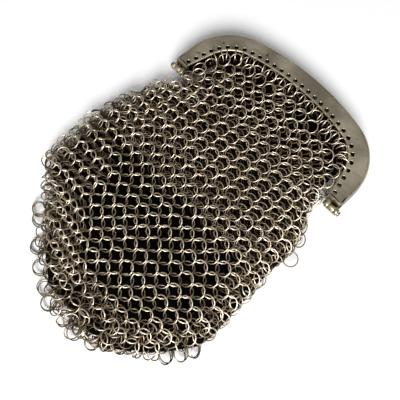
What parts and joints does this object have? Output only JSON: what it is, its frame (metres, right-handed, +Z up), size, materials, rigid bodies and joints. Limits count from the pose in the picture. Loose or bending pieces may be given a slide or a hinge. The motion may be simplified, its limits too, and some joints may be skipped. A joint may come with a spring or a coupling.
{
  "type": "metal mesh purse",
  "caption": "Small mail coin purse: ring mesh pouch over a cloth lining, hooked to a closed, hinged arch frame, lying flat.",
  "frame": {"origin": "on the surface that the purse lies on, under the middle of its bounding box", "axes": "+X along the hinge axis, +Y from the bottom of the bag to the crest of the frame, +Z up out of the front of the purse"},
  "size_m": [0.0812, 0.119, 0.0124],
  "materials": {
    "frame_metal": "tarnished nickel silver, pressed sheet, satin",
    "hinge_metal": "nickel silver burnished by use",
    "mail_metal": "tarnished nickel silver wire, dark in the hollows",
    "lining_cloth": "plain dark cloth"
  },
  "bodies": {
    "root": {"frame_front": "frame_metal", "frame_back": "frame_metal", "hinge_pin_left": "hinge_metal", "hinge_pin_right": "hinge_metal", "mesh_bag": "mail_metal", "lining": "lining_cloth"}
  },
  "joints": []
}
